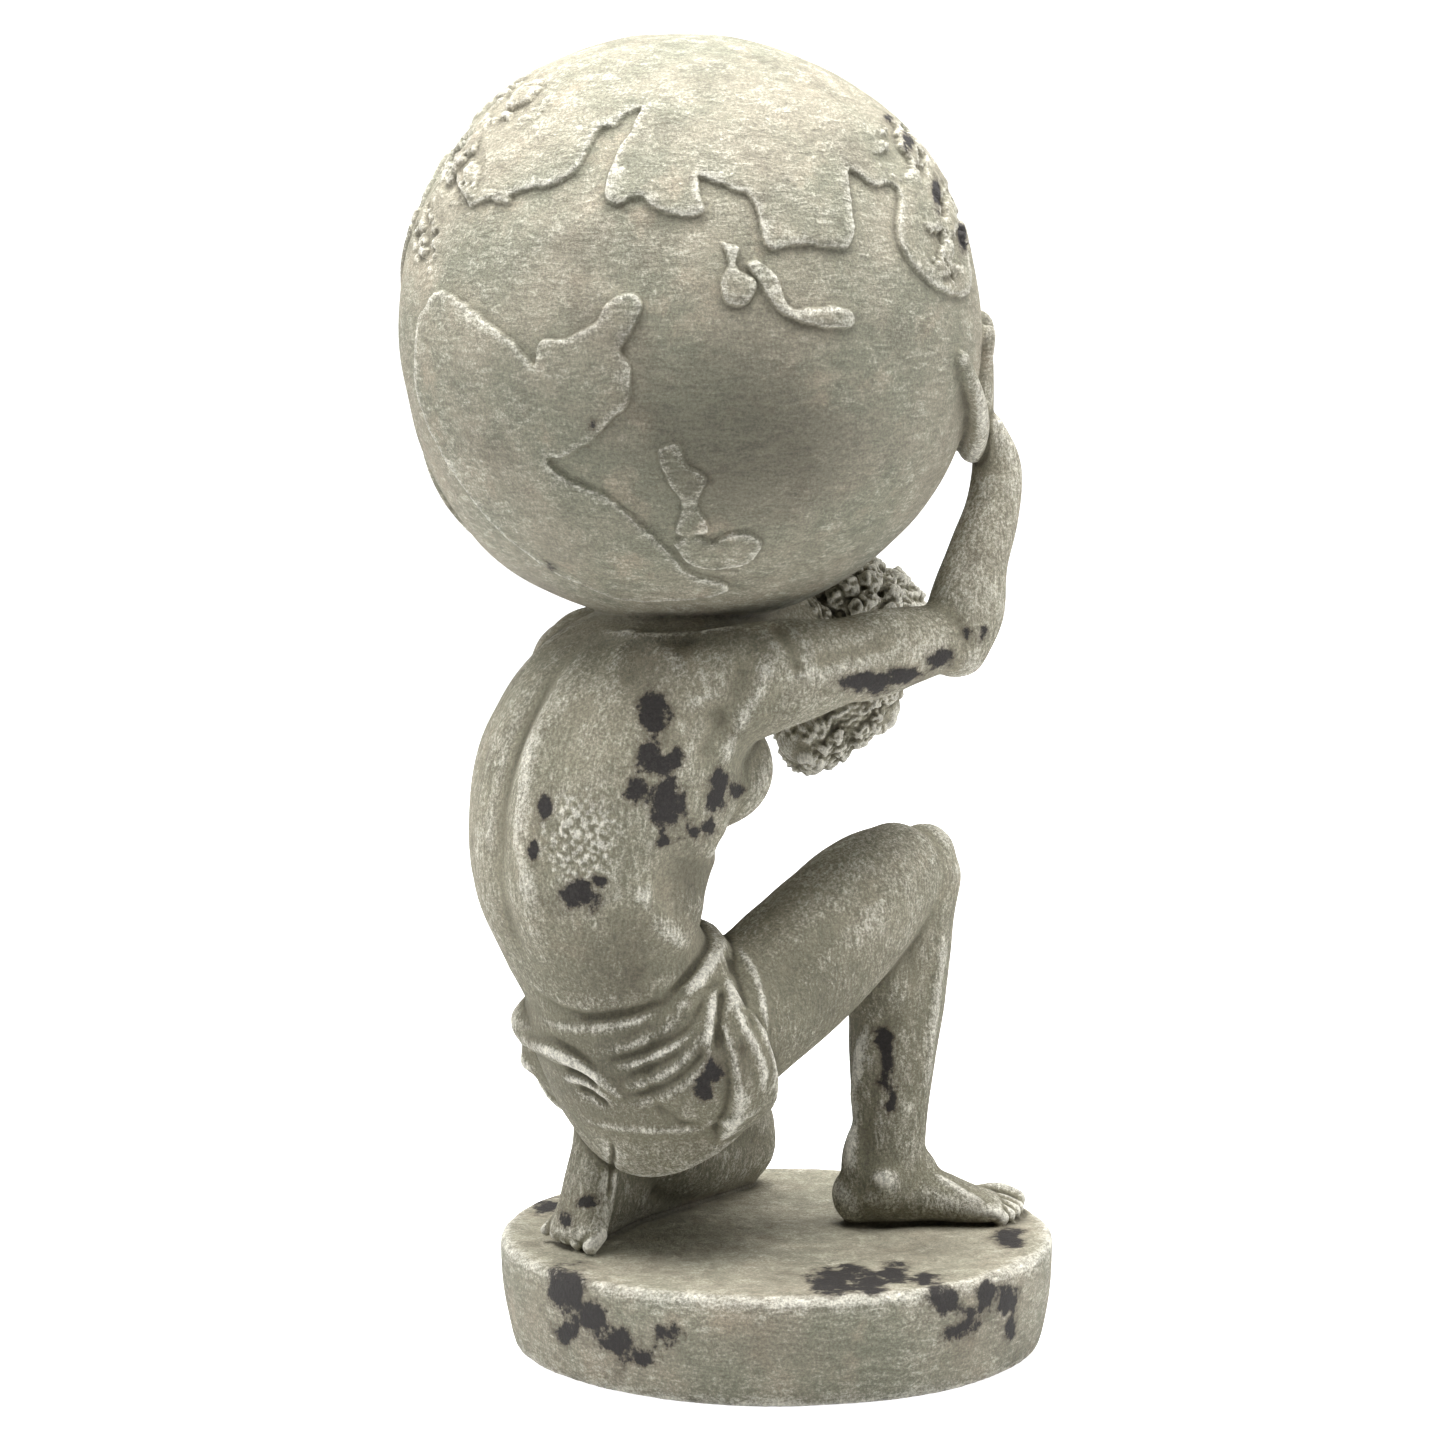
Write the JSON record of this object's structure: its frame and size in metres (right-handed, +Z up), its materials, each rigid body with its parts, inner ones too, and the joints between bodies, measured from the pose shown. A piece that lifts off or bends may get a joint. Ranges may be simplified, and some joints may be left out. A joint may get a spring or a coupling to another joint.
{
  "type": "atlas statue",
  "caption": "Kneeling bearded Atlas in a loincloth bearing a globe with raised land on his back, cast as one with a round plinth.",
  "frame": {"origin": "centre of the plinth's flat underside", "axes": "+Z up, +X the way the figure faces, +Y to the figure's left"},
  "size_m": [0.3445, 0.2887, 0.6584],
  "materials": {
    "cast_stone": "weathered matt, dry brushed"
  },
  "bodies": {
    "root": {"atlas_statue": "cast_stone"}
  },
  "joints": []
}
